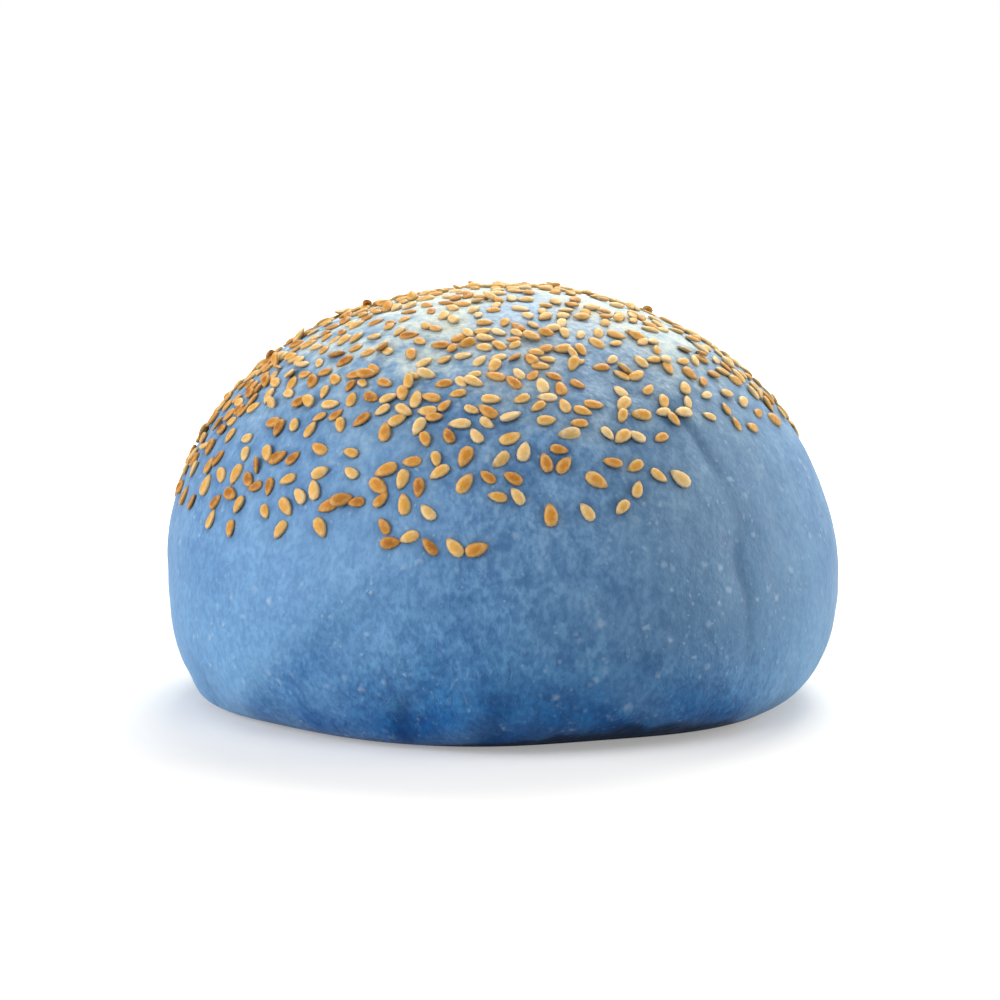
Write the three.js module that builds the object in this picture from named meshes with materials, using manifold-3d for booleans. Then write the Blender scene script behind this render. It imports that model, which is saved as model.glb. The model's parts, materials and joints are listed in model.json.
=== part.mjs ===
// A round sandwich roll with a blue crust, strewn with hulled sesame seeds over its upper half.
//
// Millimetres, +Z up. The origin is the middle of the flat foot that the roll was baked on, and
// -Y is the front. The crust is one closed body of revolution, a half ellipse above the waist and
// a tightly rounded side below it, made uneven by slow waves and a few soft hollows. The seeds lie
// flat on the crust by a seeded rule, half buried, and are fused to it.

import * as THREE from "three";
import { mergeVertices } from "three/addons/utils/BufferGeometryUtils.js";
import Module from "manifold-3d";

const DEGREE = Math.PI / 180;

// The bare crust
const WIDTH = 100.6;
const HEIGHT = 61.8;
const WAIST_HEIGHT = 19.3;
const FOOT_RADIUS = 37.6;
const SIDE_POWER = 2.55; // 2 would round the side as an ellipse, more makes its turn tighter
const HALF_WIDTH = WIDTH / 2;
const DOME_RISE = HEIGHT - WAIST_HEIGHT;

// How far the foot's edge wanders in and out, and how many times on its way round
const FOOT_WOBBLES = [
  { times: 3, size: 0.4, phase: -1.3 },
  { times: 5, size: 0.5, phase: 1.7 },
];

// Places where the foot's edge hangs out or is drawn in under the crust
const FOOT_EDGES = [
  { azimuth: -69, halfSpread: 16, size: 1.7 }, // the left cheek hangs down to the ground
  { azimuth: 21, halfSpread: 19, size: -1.9 }, // the front right is drawn in
];
const EDGE_HEIGHT = 2.6; // how far up such a place reaches

// Slow waves that make the crust uneven, each shorter and shallower than the one before
const WAVE_COUNT = 7;
const LONGEST_WAVE = 84;
const WAVE_SHRINK = 0.82;
const WAVE_SLOPE = 0.0036; // height of a wave for each millimetre of its length
const WAVE_PHASE = 1.7;
const GOLDEN_ANGLE = Math.PI * (3 - Math.sqrt(5));
const FLAT_BELOW = 5; // the waves and hollows die out over this height above the foot

// Soft hollows and swellings: where each lies, how far it spreads, how deep it is (minus: proud)
const HOLLOWS = [
  { azimuth: -22, height: 5, spread: 13, depth: 1.5 }, // under the front left cheek
  { azimuth: 20, height: 4, spread: 12, depth: 0.8 }, // under the front right
  { azimuth: 44, height: 27, spread: 5, depth: 0.7 }, // a fold down the front right
  { azimuth: 43, height: 39, spread: 5, depth: 0.6 }, // the same fold, higher up
  { azimuth: 27, height: 51.5, spread: 7, depth: 0.9 }, // a dip at the front of the crown
  { azimuth: 128, height: 45, spread: 9, depth: 0.9 }, // a dip at the back right
  { azimuth: -150, height: 12, spread: 11, depth: 1.0 }, // low down at the back
  { azimuth: 60, height: 13, spread: 10, depth: -0.5 }, // a cheek at the right
  { azimuth: 94, height: 9, spread: 11, depth: 0.6 }, // behind that cheek
  { azimuth: 86, height: 14, spread: 11, depth: -0.6 }, // the right side, at its widest
  { azimuth: -62, height: 12, spread: 12, depth: -0.5 }, // a cheek at the left
  { azimuth: -92, height: 9, spread: 10, depth: 0.9 }, // behind that cheek
];

// Facets of the crust
const COLUMNS = 56;
const SIDE_ROWS = 7;
const DOME_ROWS = 18;

// Sesame seeds
const SEED_LENGTH = 3.05;
const SEED_WIDTH = 1.8;
const SEED_THICKNESS = 1.4; // its lower half is buried in the crust
const SEED_SIDES = 4;
const SEED_SPREAD = 0.16; // the smallest and largest seeds differ from the mean by this share
const SMALL_CROWN = { from: 38, to: 56, share: 0.15 }; // the seeds are this much smaller up there
const SEED_SUNK = 0.1; // the seed's middle lies this far under the crust's surface
const SEED_LINE = 30.3; // height at which the seeds begin at the front
const SEED_FADE = 7.38; // the height over which they come to their usual number
const THIN_BELOW = 43.5; // under this height fewer seeds stuck
const THIN_SHARE = 0.16;
// At the right the seeds end higher and lie thinner, and at the front left they reach lower
const BARE_PATCH = { azimuth: 58, halfSpread: 36, rise: 11.3, thinning: 0.47 };
const LOW_PATCH = { azimuth: -13, halfSpread: 14, drop: 2.8 };
const BACK_RISE = 3.5; // the seeds end a little higher at the back
const CROWDED_SIDE = { azimuth: -78, gain: 0.38 }; // more seeds stuck on this side
const SEED_SPACING = 2.2; // seeds lie at least this far apart, except those that lie on others
const RIDER_SPACING = 1.1;
const RIDER_SHARE = 0.12; // share of the seeds falling on others that stay there
const SEED_TRIES = 4000;
const FIRST_DRAW = 4774;

// The largest seeds, evenly spread, are made solid
const SOLID_SEEDS = 250;
const SOLID_SPACING = 4.2;

const SLOPE_STEP = 0.5; // degrees to either side of a point, for the slope of the crust there
const SAME_POINT = 1e-4; // corners closer than this are one
const NEARLY_UP = 0.9; // the upward share of a direction that counts as nearly straight up
const FOOT_CENTRE = new THREE.Vector3(0, 0, 0);
const HEART = new THREE.Vector3(0, 0, WAIST_HEIGHT); // waves and hollows push away from this point

const crustMaterial = new THREE.MeshStandardMaterial({ color: 0x6b9bcd, roughness: 0.62, metalness: 0 });

// A repeatable random number from 0 to 1.
function makeDraw(first) {
  const modulus = 2147483647;
  const multiplier = 48271;
  let state = first;
  return () => {
    state = (state * multiplier) % modulus;
    return state / modulus;
  };
}

function smoothStep(low, high, x) {
  const t = Math.min(1, Math.max(0, (x - low) / (high - low)));
  return t * t * (3 - 2 * t);
}

// Difference between two azimuths in degrees, from -180 to 180.
function turnBetween(a, b) {
  return ((((a - b + 180) % 360) + 360) % 360) - 180;
}

// Azimuths run from the front, -Y, towards the right, +X.
function azimuthOf(point) {
  return Math.atan2(point.x, -point.y) / DEGREE;
}

function onCircle(azimuth, radius, height) {
  const turn = azimuth * DEGREE;
  return new THREE.Vector3(radius * Math.sin(turn), -radius * Math.cos(turn), height);
}

// Radius and height of the plain outline: turn 0 is the waist, 90 the crown and -90 the foot's edge.
function outline(turn) {
  const up = Math.abs(Math.sin(turn * DEGREE));
  const out = Math.max(0, Math.cos(turn * DEGREE));
  if (turn >= 0) {
    return { radius: HALF_WIDTH * out, height: WAIST_HEIGHT + DOME_RISE * up };
  }
  const power = 2 / SIDE_POWER;
  return {
    radius: FOOT_RADIUS + (HALF_WIDTH - FOOT_RADIUS) * out ** power,
    height: WAIST_HEIGHT * (1 - up ** power),
  };
}

// The outline's turn at a height, from the foot's edge to the crown.
function turnAtHeight(height) {
  if (height >= WAIST_HEIGHT) {
    return Math.asin(Math.min(1, (height - WAIST_HEIGHT) / DOME_RISE)) / DEGREE;
  }
  return -Math.asin((1 - height / WAIST_HEIGHT) ** (SIDE_POWER / 2)) / DEGREE;
}

function plainPoint(azimuth, height) {
  return onCircle(azimuth, outline(turnAtHeight(height)).radius, height);
}

const waves = Array.from({ length: WAVE_COUNT }, (_, i) => {
  const length = LONGEST_WAVE * WAVE_SHRINK ** i;
  const rise = 1 - (2 * i + 1) / WAVE_COUNT;
  const flat = Math.sqrt(1 - rise * rise);
  const turn = i * GOLDEN_ANGLE;
  const heading = new THREE.Vector3(flat * Math.cos(turn), flat * Math.sin(turn), rise);
  return {
    swing: heading.multiplyScalar((2 * Math.PI) / length),
    size: WAVE_SLOPE * length,
    phase: WAVE_PHASE * i,
  };
});

const hollows = HOLLOWS.map((hollow) => ({ ...hollow, middle: plainPoint(hollow.azimuth, hollow.height) }));

// How far the crust stands out from its plain outline at a point of that outline.
function swelling(point) {
  let out = 0;
  for (const wave of waves) {
    out += wave.size * Math.sin(wave.swing.dot(point) + wave.phase);
  }
  for (const hollow of hollows) {
    const off = point.distanceTo(hollow.middle) / hollow.spread;
    out -= hollow.depth * Math.exp(-off * off);
  }
  return out * smoothStep(0, FLAT_BELOW, point.z);
}

// How far the side lies outside its plain circle at a height, next to the foot.
function footGrowth(azimuth, height) {
  const low = 1 - height / WAIST_HEIGHT;
  let out = 0;
  for (const { times, size, phase } of FOOT_WOBBLES) {
    out += size * Math.cos(times * azimuth * DEGREE + phase) * low * low;
  }
  for (const edge of FOOT_EDGES) {
    const off = turnBetween(azimuth, edge.azimuth) / edge.halfSpread;
    out += edge.size * Math.exp(-off * off - (height / EDGE_HEIGHT) ** 2);
  }
  return out;
}

// Moves a point of the plain outline to the uneven crust.
function unevenPoint(plain) {
  const point = plain.clone();
  const radius = Math.hypot(plain.x, plain.y);
  if (plain.z < WAIST_HEIGHT && radius > 0) {
    const reach = Math.min(1, radius / FOOT_RADIUS);
    const grown = 1 + (footGrowth(azimuthOf(plain), plain.z) * reach) / radius;
    point.x *= grown;
    point.y *= grown;
  }
  const push = swelling(plain);
  const away = plain.clone().sub(HEART).normalize();
  return point.addScaledVector(away, push);
}

// The crust's point and outward direction above the waist, at an azimuth and a turn of the outline.
function crustAt(azimuth, turn) {
  const place = (a, t) => {
    const { radius, height } = outline(t);
    return unevenPoint(onCircle(a, radius, height));
  };
  const point = place(azimuth, turn);
  const top = Math.min(turn, 90 - 2 * SLOPE_STEP);
  const round = place(azimuth + SLOPE_STEP, top).sub(place(azimuth - SLOPE_STEP, top));
  const upward = place(azimuth, top + SLOPE_STEP).sub(place(azimuth, top - SLOPE_STEP));
  return { point, outward: round.cross(upward).normalize() };
}

// The solid of a closed geometry.
function solidOf(wasm, geometry) {
  const bare = geometry.clone();
  bare.deleteAttribute("normal");
  bare.deleteAttribute("uv");
  const merged = mergeVertices(bare, SAME_POINT);
  const mesh = new wasm.Mesh({
    numProp: 3,
    vertProperties: merged.attributes.position.array,
    triVerts: new Uint32Array(merged.index.array),
  });
  return new wasm.Manifold(mesh);
}

function crustGeometry() {
  const profile = [new THREE.Vector2(0, 0)];
  for (let row = 0; row <= SIDE_ROWS; row++) {
    const { radius, height } = outline(-90 + (90 * row) / SIDE_ROWS);
    profile.push(new THREE.Vector2(radius, height));
  }
  for (let row = 1; row <= DOME_ROWS; row++) {
    const { radius, height } = outline((90 * row) / DOME_ROWS);
    profile.push(new THREE.Vector2(row === DOME_ROWS ? 0 : radius, height));
  }
  const geometry = new THREE.LatheGeometry(profile, COLUMNS).rotateX(90 * DEGREE);
  const places = geometry.attributes.position;
  const plain = new THREE.Vector3();
  for (let i = 0; i < places.count; i++) {
    plain.fromBufferAttribute(places, i);
    if (plain.distanceTo(FOOT_CENTRE) < SAME_POINT) continue;
    const moved = unevenPoint(plain);
    places.setXYZ(i, moved.x, moved.y, moved.z);
  }
  return geometry;
}

// How far an azimuth lies inside a patch, from 0 to 1 at its middle.
function withinPatch(azimuth, patch) {
  const off = turnBetween(azimuth, patch.azimuth) / patch.halfSpread;
  return Math.exp(-off * off);
}

// How likely a seed is to stick at a place, from 0 to 1.
function seedChance(azimuth, height) {
  const bare = withinPatch(azimuth, BARE_PATCH);
  const low = withinPatch(azimuth, LOW_PATCH);
  const back = (1 - Math.cos(azimuth * DEGREE)) / 2;
  const line = SEED_LINE + BARE_PATCH.rise * bare - LOW_PATCH.drop * low + BACK_RISE * back;
  const stuck = smoothStep(line - SEED_FADE / 2, line + SEED_FADE / 2, height);
  const towards = (1 + Math.cos((azimuth - CROWDED_SIDE.azimuth) * DEGREE)) / 2;
  const thin = THIN_SHARE + CROWDED_SIDE.gain * towards * towards;
  const full = smoothStep(THIN_BELOW - SEED_FADE / 2, THIN_BELOW + SEED_FADE / 2, height);
  const sticking = stuck * (thin * (1 - full) + full);
  return sticking * (1 - BARE_PATCH.thinning * bare);
}

// Every seed on the roll: its place, its outward direction, the way it points, its size, how much
// larger it is than others at its height, and whether it lies on another seed.
function strewSeeds() {
  const draw = makeDraw(FIRST_DRAW);
  const seeds = [];
  for (let attempt = 0; attempt < SEED_TRIES; attempt++) {
    const azimuth = 360 * draw() - 180;
    const height = SEED_LINE - SEED_FADE + (HEIGHT - SEED_LINE + SEED_FADE) * draw();
    const luck = draw();
    const lodging = draw();
    const yaw = 360 * draw();
    const growth = 1 + SEED_SPREAD * (2 * draw() - 1);
    const fineness = 1 - SMALL_CROWN.share * smoothStep(SMALL_CROWN.from, SMALL_CROWN.to, height);
    if (luck > seedChance(azimuth, height)) continue;
    const { point, outward } = crustAt(azimuth, turnAtHeight(height));
    const nearest = Math.min(...seeds.map((seed) => seed.point.distanceTo(point)), Infinity);
    const rides = nearest < SEED_SPACING * fineness;
    if (rides && (nearest < RIDER_SPACING * fineness || lodging > RIDER_SHARE)) continue;
    seeds.push({ point, outward, yaw, size: fineness * growth, growth, rides });
  }
  return seeds;
}

// The largest seeds at each height that lie flat, no two of them close together.
function pickSolidSeeds(seeds) {
  const kept = [];
  for (const seed of seeds.filter((s) => !s.rides).sort((a, b) => b.growth - a.growth)) {
    if (kept.length === SOLID_SEEDS) break;
    if (kept.every((other) => other.point.distanceTo(seed.point) > SOLID_SPACING)) kept.push(seed);
  }
  return kept;
}

// A hulled sesame seed, pointed at its -Y end and blunt at its +Y end, lying flat on XY.
function seedGeometry() {
  const profile = [
    new THREE.Vector2(0, -0.5),
    new THREE.Vector2(0.38, -0.18),
    new THREE.Vector2(0.5, 0.2),
    new THREE.Vector2(0, 0.5),
  ];
  const drop = new THREE.LatheGeometry(profile, SEED_SIDES, 90 * DEGREE);
  return drop.scale(SEED_WIDTH, SEED_LENGTH, SEED_THICKNESS);
}

// Lays a seed on the crust where it fell.
function laidSeed(shape, seed) {
  const steep = Math.abs(seed.outward.z) < NEARLY_UP;
  const level = steep ? new THREE.Vector3(0, 0, 1) : new THREE.Vector3(1, 0, 0);
  const side = new THREE.Vector3().crossVectors(level, seed.outward).normalize();
  const along = side.applyAxisAngle(seed.outward, seed.yaw * DEGREE);
  const across = new THREE.Vector3().crossVectors(along, seed.outward);
  const middle = seed.point.clone().addScaledVector(seed.outward, -SEED_SUNK);
  const placed = new THREE.Matrix4()
    .makeBasis(across, along, seed.outward)
    .scale(new THREE.Vector3(seed.size, seed.size, seed.size))
    .setPosition(middle);
  return shape.clone().applyMatrix4(placed);
}

function rollGeometry(wasm) {
  const shape = seedGeometry();
  let roll = solidOf(wasm, crustGeometry());
  for (const seed of pickSolidSeeds(strewSeeds())) {
    roll = roll.add(solidOf(wasm, laidSeed(shape, seed)));
  }
  const { vertProperties, triVerts } = roll.getMesh();
  return new THREE.BufferGeometry()
    .setAttribute("position", new THREE.BufferAttribute(vertProperties, 3))
    .setIndex(new THREE.BufferAttribute(triVerts, 1));
}

const wasm = await Module();
wasm.setup();

const roll = new THREE.Mesh(rollGeometry(wasm), crustMaterial);
roll.name = "roll";
roll.geometry.computeVertexNormals();

const part = new THREE.Group();
part.add(roll);

export default part;
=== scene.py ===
import json
import math

import bpy
import numpy as np
from mathutils import Matrix, Quaternion, Vector, noise
from mathutils.kdtree import KDTree

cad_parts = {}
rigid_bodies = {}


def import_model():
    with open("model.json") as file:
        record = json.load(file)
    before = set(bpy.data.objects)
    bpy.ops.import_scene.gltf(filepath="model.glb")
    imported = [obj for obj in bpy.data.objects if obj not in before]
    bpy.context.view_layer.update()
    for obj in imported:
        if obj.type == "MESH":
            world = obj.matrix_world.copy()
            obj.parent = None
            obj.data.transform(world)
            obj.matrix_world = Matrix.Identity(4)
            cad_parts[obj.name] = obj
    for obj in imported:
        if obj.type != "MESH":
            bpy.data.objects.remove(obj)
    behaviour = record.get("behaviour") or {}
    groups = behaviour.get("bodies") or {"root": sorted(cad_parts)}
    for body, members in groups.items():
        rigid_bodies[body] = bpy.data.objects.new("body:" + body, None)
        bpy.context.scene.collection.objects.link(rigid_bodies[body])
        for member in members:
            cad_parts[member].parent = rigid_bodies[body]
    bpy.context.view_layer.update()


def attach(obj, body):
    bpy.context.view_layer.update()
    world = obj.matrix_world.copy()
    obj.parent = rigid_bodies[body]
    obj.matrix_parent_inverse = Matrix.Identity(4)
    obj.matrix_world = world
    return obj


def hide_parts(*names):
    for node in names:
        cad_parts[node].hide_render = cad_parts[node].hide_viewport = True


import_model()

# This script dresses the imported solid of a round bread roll. It gives the roll a blue crust with its
# folds, puckers and blisters, and strews every sesame seed of the real thing over it. Lengths are in
# millimetres up to the point where a mesh is made. The origin is the middle of the foot, and -Y is the
# front. The form and the places of the seeds follow the same rules as the solid's.

MM = 0.001

# The bare crust
WIDTH = 100.6
HEIGHT = 61.8
WAIST_HEIGHT = 19.3
FOOT_RADIUS = 37.6
SIDE_POWER = 2.55
HALF_WIDTH = WIDTH / 2
DOME_RISE = HEIGHT - WAIST_HEIGHT
HEART = np.array([0, 0, WAIST_HEIGHT])  # waves and hollows push away from this point

# How often the foot's edge wanders in and out on its way round, how far, and from which phase
FOOT_WOBBLES = [(3, 0.4, -1.3), (5, 0.5, 1.7)]

# Places where the foot's edge hangs out or is drawn in: azimuth, half spread, size
FOOT_EDGES = [(-69, 16, 1.7), (21, 19, -1.9)]
EDGE_HEIGHT = 2.6

# Slow waves that make the crust uneven
WAVE_COUNT = 7
LONGEST_WAVE = 84
WAVE_SHRINK = 0.82
WAVE_SLOPE = 0.0036
WAVE_PHASE = 1.7
GOLDEN_ANGLE = math.pi * (3 - math.sqrt(5))
FLAT_BELOW = 5

# Soft hollows: azimuth from the front in degrees, height, spread and depth, which is minus where proud
HOLLOWS = [
    (-22, 5, 13, 1.5),
    (20, 4, 12, 0.8),
    (44, 27, 5, 0.7),
    (43, 39, 5, 0.6),
    (27, 51.5, 7, 0.9),
    (128, 45, 9, 0.9),
    (-150, 12, 11, 1.0),
    (60, 13, 10, -0.5),
    (94, 9, 11, 0.6),
    (86, 14, 11, -0.6),
    (-62, 12, 12, -0.5),
    (-92, 9, 10, 0.9),
]

# Sesame seeds
SEED_LENGTH = 3.05
SEED_WIDTH = 1.8
SEED_THICKNESS = 0.88
SEED_SPREAD = 0.16
SMALL_CROWN = {"from": 38, "to": 56, "share": 0.15}  # the seeds are this much smaller up there
SEED_RAISED = 0.12  # the seed's middle lies this far above the crust
SEED_LINE = 30.3  # the seeds' lower edge
SEED_FADE = 7.38  # height over which they set in
THIN_BELOW = 43.5
THIN_SHARE = 0.16  # share of the seeds that stuck below that height
BARE_PATCH = {"azimuth": 58, "half_spread": 36, "rise": 11.3, "thinning": 0.47}
LOW_PATCH = {"azimuth": -13, "half_spread": 14, "drop": 2.8}
BACK_RISE = 3.5
CROWDED_SIDE = {"azimuth": -78, "gain": 0.38}
SEED_SPACING = 2.2
RIDER_SPACING = 1.1
RIDER_SHARE = 0.12
SEED_TRIES = 4000
FIRST_DRAW = 4774
EDGEWISE_SHARE = 0.09  # share of the seeds that lie on their edge
PALER_SIDE = 0.34  # how much less toasted the seeds on the right are

# How a seed that fell partly on earlier ones is lifted and tilted
RIDE = {"free": 0.12, "share": 0.62, "most": 0.6, "tilt": 0.75, "rise": 0.85}

# How far seeds are rocked about their width and their length, also those on their edge
ROCK = {"end": 0.2, "side": 0.4, "edge": 1.9}
EDGE_RAISED = 0.15
UNEVEN_RAISED = 0.08

# The seeds' own shapes
SEED_KINDS = 6
SEED_RINGS = 5
SEED_SIDES = 8
FIRST_KIND_DRAW = 900
TIP_POWER = {"least": 0.68, "more": 0.26}  # the higher, the more pointed
BLUNT_POWER = {"least": 0.38, "more": 0.08}
SEED_BEND = 0.12
SEED_TWIST = 0.5
SEED_FLATNESS = 0.12
PLUMPNESS = {"least": 0.88, "more": 0.3}
SEED_GRIT = 0.55  # size of the patches of uneven tone on a seed

# The skin's own relief
GRID_CELLS = 118  # cells along each side of the six patches that the crust is made of

# Bumps that roughen the skin: height, size, how far drawn out upwards, and where their noise starts
BUMPS = [(0.26, 11, 1.0, 0.0), (0.12, 5, 1.0, 7.3), (0.06, 2.4, 1.2, 3.1)]
BUMPS_SET_IN = (0.2, 4)  # heights
LOW_BUMPS = [(0.03, 1.7, 2.2, 5.7)]
LOW_BUMPS_FADE = (34, 48)

# Folds at the right, as heights and azimuths, and the lips that rise beside the first: distance from its
# middle, spread and share of the lips' height
FOLD = [(10, 43.5), (18, 43), (26, 42), (30, 44), (34, 43.2), (39, 42), (43, 40.5), (48, 37)]
SIDE_FOLD = [(33, 31), (37, 32), (41, 35), (46, 35.5)]
FOLD_WIDTH = 1.2
FOLD_DEPTH = 0.4
SIDE_FOLD_DEPTH = 0.26
FOLD_LOW_SHARE = 0.8  # share of the first fold's depth at its lower end
FOLD_DEEPENS = (30, 40)
BREAKS = [(1.1, 6, 1.6, 11.9)]  # noise that makes the folds and furrows come and go
BREAK_LEVELS = {"mean": 0.7, "least": 0.1, "most": 1.3}
LIPS = [(3.2, 2.4, 1.0), (-3.4, 2.2, 0.7)]
LIP_HEIGHT = 0.1

# Furrows that run round the crown, as azimuths and heights
FURROWS = [
    [(6, 55.6), (14, 55), (25, 53.6), (36, 50.6), (42, 48.6)],
    [(16, 51.4), (26, 50), (34, 48)],
]
FURROW_WIDTH = 0.9
FURROW_DEPTH = 0.22

# Short upright grooves above the foot: azimuth and depth
PUCKERS = [
    (-64, 0.15),
    (-41, 0.15),
    (-15.5, 0.4),
    (-1, 0.3),
    (11, 0.12),
    (24, 0.15),
    (37, 0.12),
    (58, 0.15),
]
PUCKER_WIDTH = 2
PUCKER_WANDER = 1.2
PUCKERS_SET_IN = (0.3, 2.5)
PUCKERS_FADE = (5, 12)

# The edge of the left cheek, as heights and azimuths, and how the cheek stands out along it
CHEEK = [(3, -54), (7, -44.6), (13, -36.5), (17, -30), (21, -24), (27, -14)]
CHEEK_RISE = {"height": 0.24, "edge": 4, "reach": 15}

# Dents round the seeds, and how dark the painted shade round them is below the crown
SEED_DENT = {"depth": 0.16, "reach": 1.5}
DENT_SHADE = {"low": 2.8, "fall": 2.2, "from": 44, "to": 56}

# Where the crust is deep blue and painted with shade towards the foot: right edge, azimuths from an edge
# over which it sets in, and clouds
DEEP_RIGHT = [(3, 60), (10, 54), (20, 46), (30, 44)]
SHARP_EDGE = (-4, 5)
SOFT_EDGE = (-2, 36)
SHARP_SHARE = {"left": 0.5, "right": 0.35}
DEEP_FRONT = 0.95
DEEP_ELSEWHERE = 0.12
DEEP_CLOUDS = [(0.4, 20, 1.0, 4.4), (0.5, 7, 1.0, 8.8)]

# Where the crust is greyer, where painted shade darkens it over the foot, and where a painted highlight
# whitens the crown
DULL_PATCH = {"azimuth": 34, "half_spread": 26, "share": 0.5}
DULL_SETS_IN = (4, 18)
DULL_FADES = (46, 56)
UNDERCUT = {"azimuth": 24, "half_spread": 27, "height": 3.8}
UNDERCUT_RAGS = [(0.5, 4, 1.0, 2.6)]
UNDERCUT_EDGE = (0.55, 1.15)  # shares of its height
HIGHLIGHT_FRONT = {"azimuth": 18, "half_spread": 32, "drop": 11, "elsewhere": -2.5}
HIGHLIGHT_EVEN_WITHIN = (4, 20)  # distances from the crown's middle over which the front's lower painted highlight sets in

# Uneven tone in the crust's colour: size of the patches and how far they are drawn out upwards
GRAINS = {
    "patches": (16.0, 1.2),
    "blotches": (5.5, 1.2),
    "mottle": (2.1, 1.3),
    "fine": (0.75, 1.4),
    "pulled": (0.9, 3.6),
}
TONE_SHARES = {"blotches": 0.1, "mottle": 0.17, "fine": 0.17}
TONE_TINT = (1.4, 1.0, 0.65)  # the crust's red varies the most and its blue the least
HIGHLIGHT_FRAY = {"blotches": 6.0, "mottle": 5.0}  # how far the painted highlight's edge frays, in height

# Pale blisters: width of the cells that may hold one, widest radius, share of cells, bend, strength
BLISTERS = [
    (4.0, 1.1, 0.42, 1.2, 0.58),
    (2.3, 0.85, 0.62, 0.9, 0.55),
    (1.3, 0.5, 0.5, 0.5, 0.38),
]

# Blisters stand in clusters, from hardly any to about twice their share of the cells
CLUSTERS = {"fineness": 0.11, "few": 0.1, "many": 1.9}

# How much each pattern stands out in the crust's fine relief
FINE_RELIEF = {"fine": 0.3, "mottle": 0.6, "pulled": 0.4, "pale": 1.6}

# The camera, found by fitting the roll's outline to the photograph
CAMERA_DISTANCE = 500
CAMERA_TILT = 8
AIM_HEIGHT = 30
PIXELS_PER_MM = 6.68
AIM_PIXEL = (501, 494)
FRAME_PIXELS = 1000
SENSOR = 36

# The stage, in metres: reach of the floor, the ring over which it brightens, and the soft lights, each
# with azimuth, elevation, distance, side, power and colour
FLOOR_REACH = 6.0
FLOOR_GLOW = {"from": 0.04, "to": 0.4, "least": 0.3}
ROOM_LIGHT = 0.3
LIGHTS = {
    "top back softbox": (166, 46, 0.75, 0.5, 6.6, (1.0, 0.97, 0.86)),
    "left softbox": (-72, 14, 0.8, 0.55, 5.0, (1.0, 0.99, 0.97)),
    "right softbox": (98, 14, 0.9, 0.5, 4.2, (1.0, 0.92, 0.8)),
    "front fill": (8, 66, 1.2, 0.8, 4.3, (1.0, 1.0, 0.97)),
}


def paint(red, green, blue):
    """A colour given in display values from 0 to 255, as the shader wants it."""
    linear = []
    for value in (red, green, blue):
        share = value / 255
        linear.append(share / 12.92 if share <= 0.04045 else ((share + 0.055) / 1.055) ** 2.4)
    return (*linear, 1.0)


def make_draw(first):
    """A repeatable random number from 0 to 1."""
    factor = 48271
    wheel = 2**31 - 1
    state = first

    def draw():
        nonlocal state
        state = (state * factor) % wheel
        return state / wheel

    return draw


def smooth_step(low, high, x):
    t = np.clip((x - low) / (high - low), 0, 1)
    return t * t * (3 - 2 * t)


def turn_between(a, b):
    return (a - b + 180) % 360 - 180


# The crust's form

def outline(turn):
    """Radius and height of the plain outline: turn 0 is the waist, 90 the crown, -90 the foot's edge."""
    up = np.abs(np.sin(np.radians(turn)))
    out = np.maximum(0, np.cos(np.radians(turn)))
    power = 2 / SIDE_POWER
    on_dome = turn >= 0
    side_radius = FOOT_RADIUS + (HALF_WIDTH - FOOT_RADIUS) * out**power
    radius = np.where(on_dome, HALF_WIDTH * out, side_radius)
    height = np.where(on_dome, WAIST_HEIGHT + DOME_RISE * up, WAIST_HEIGHT * (1 - up**power))
    return radius, height


def turn_at_height(height):
    if height >= WAIST_HEIGHT:
        return math.degrees(math.asin(min(1, (height - WAIST_HEIGHT) / DOME_RISE)))
    return -math.degrees(math.asin((1 - height / WAIST_HEIGHT) ** (SIDE_POWER / 2)))


def on_circle(azimuth, radius, height):
    """Points at azimuths that run from the front, -Y, towards the right, +X."""
    turn = np.radians(azimuth)
    return np.stack([radius * np.sin(turn), -radius * np.cos(turn), height + 0 * turn], axis=-1)


def azimuth_of(points):
    return np.degrees(np.arctan2(points[:, 0], -points[:, 1]))


def slow_waves():
    waves = []
    for i in range(WAVE_COUNT):
        length = LONGEST_WAVE * WAVE_SHRINK**i
        rise = 1 - (2 * i + 1) / WAVE_COUNT
        flat = math.sqrt(1 - rise * rise)
        turn = i * GOLDEN_ANGLE
        heading = np.array([flat * math.cos(turn), flat * math.sin(turn), rise])
        waves.append((heading * 2 * math.pi / length, WAVE_SLOPE * length, WAVE_PHASE * i))
    return waves


def placed_hollows():
    placed = []
    for azimuth, height, spread, depth in HOLLOWS:
        radius, _ = outline(np.array(turn_at_height(height)))
        placed.append((on_circle(azimuth, radius, height), spread, depth))
    return placed


WAVES = slow_waves()
PLACED_HOLLOWS = placed_hollows()


def swelling(points):
    """How far the crust stands out from its plain outline."""
    out = np.zeros(len(points))
    for swing, size, phase in WAVES:
        out += size * np.sin(points @ swing + phase)
    for middle, spread, depth in PLACED_HOLLOWS:
        off = np.linalg.norm(points - middle, axis=1) / spread
        out -= depth * np.exp(-(off**2))
    return out * smooth_step(0, FLAT_BELOW, points[:, 2])


def foot_growth(azimuth, height):
    """How far the side lies outside its plain circle at a height, next to the foot."""
    low = np.maximum(0, 1 - height / WAIST_HEIGHT)
    turn = np.radians(azimuth)
    grown = sum(size * np.cos(times * turn + phase) * low**2 for times, size, phase in FOOT_WOBBLES)
    for middle, half_spread, size in FOOT_EDGES:
        off = turn_between(azimuth, middle) / half_spread
        grown += np.where(low > 0, size * np.exp(-(off**2) - (height / EDGE_HEIGHT) ** 2), 0)
    return grown


def uneven_points(plain):
    """Moves points of the plain outline to the uneven crust."""
    radius = np.maximum(1e-6, np.hypot(plain[:, 0], plain[:, 1]))
    grown = 1 + foot_growth(azimuth_of(plain), plain[:, 2]) * np.minimum(1, radius / FOOT_RADIUS) / radius
    points = plain.copy()
    points[:, 0] *= grown
    points[:, 1] *= grown
    away = plain - HEART
    away /= np.linalg.norm(away, axis=1)[:, None]
    return points + away * swelling(plain)[:, None]


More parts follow.
